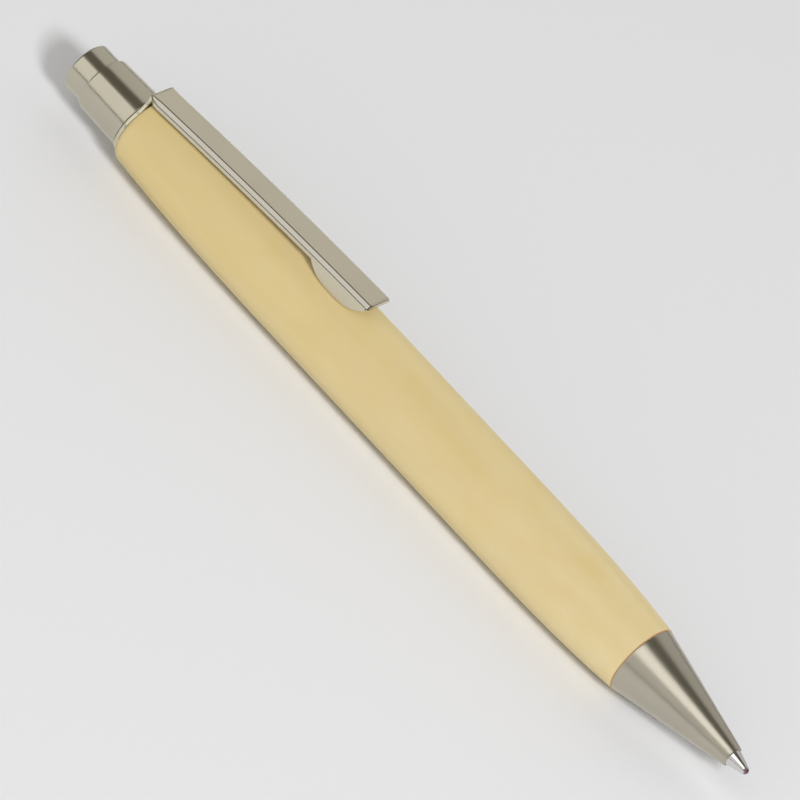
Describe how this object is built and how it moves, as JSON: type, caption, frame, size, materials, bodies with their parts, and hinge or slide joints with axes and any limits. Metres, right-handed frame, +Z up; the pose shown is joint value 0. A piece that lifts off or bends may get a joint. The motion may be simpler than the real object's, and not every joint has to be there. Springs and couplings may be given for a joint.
{
  "type": "ballpoint pen",
  "caption": "Click ballpoint pen with a spindle-shaped wooden barrel, a straight metal nose cone, a push button in a sleeve and a flat sprung clip with a deep foot.",
  "frame": {"origin": "on the barrel's lowest facet, at the middle of the stretch of barrel that has one radius", "axes": "+X along the pen to its writing point, +Z up from the resting facet to the clip, +Y across the pen"},
  "size_m": [0.1384, 0.0132, 0.0163],
  "materials": {
    "wood": "satin",
    "satin_metal": "satin",
    "polished_metal": "polished",
    "brass": "plain",
    "steel": "plain",
    "white_plastic": "matte",
    "black_plastic": "matte"
  },
  "bodies": {
    "pen_body": {"wooden_barrel": "wood", "liner_tube": "brass", "front_bush": "brass", "rear_bush": "brass", "nose_cone": "satin_metal", "button_sleeve": "satin_metal", "cam_housing": "brass", "clip_ring": "satin_metal", "return_spring": "steel"},
    "click_slider": {"push_button": "satin_metal", "plunger": "white_plastic", "refill_plug": "black_plastic", "refill_tube": "steel", "refill_neck": "steel", "tip_point": "polished_metal"},
    "rotor": {"rotor": "white_plastic"},
    "clip_bar": {"clip_bar": "satin_metal"},
    "writing_ball": {"writing_ball": "polished_metal"}
  },
  "joints": [
    {"name": "click", "type": "slide", "parent": "pen_body", "child": "click_slider", "axis": [1, 0, 0], "range_m": [-0.0055, 0.0009], "deforming": ["return_spring"]},
    {"name": "rotor_turn", "type": "hinge", "parent": "click_slider", "child": "rotor", "pos_m": [-0.03, 0, 0.00657], "axis": [1, 0, 0], "range_deg": [-8, 46]},
    {"name": "clip_flex", "type": "hinge", "parent": "pen_body", "child": "clip_bar", "pos_m": [-0.05572, 0, 0.01387], "axis": [0, -1, 0], "range_deg": [0, 4], "stiffness_Nm_per_rad": 4},
    {"name": "ball_roll", "type": "hinge", "parent": "click_slider", "child": "writing_ball", "pos_m": [0.06935, 0, 0.00657], "axis": [0, 1, 0], "continuous": true}
  ],
  "couplings": [
    {"joint": "rotor_turn", "follows": "click", "rad_per_m": -142.8}
  ]
}
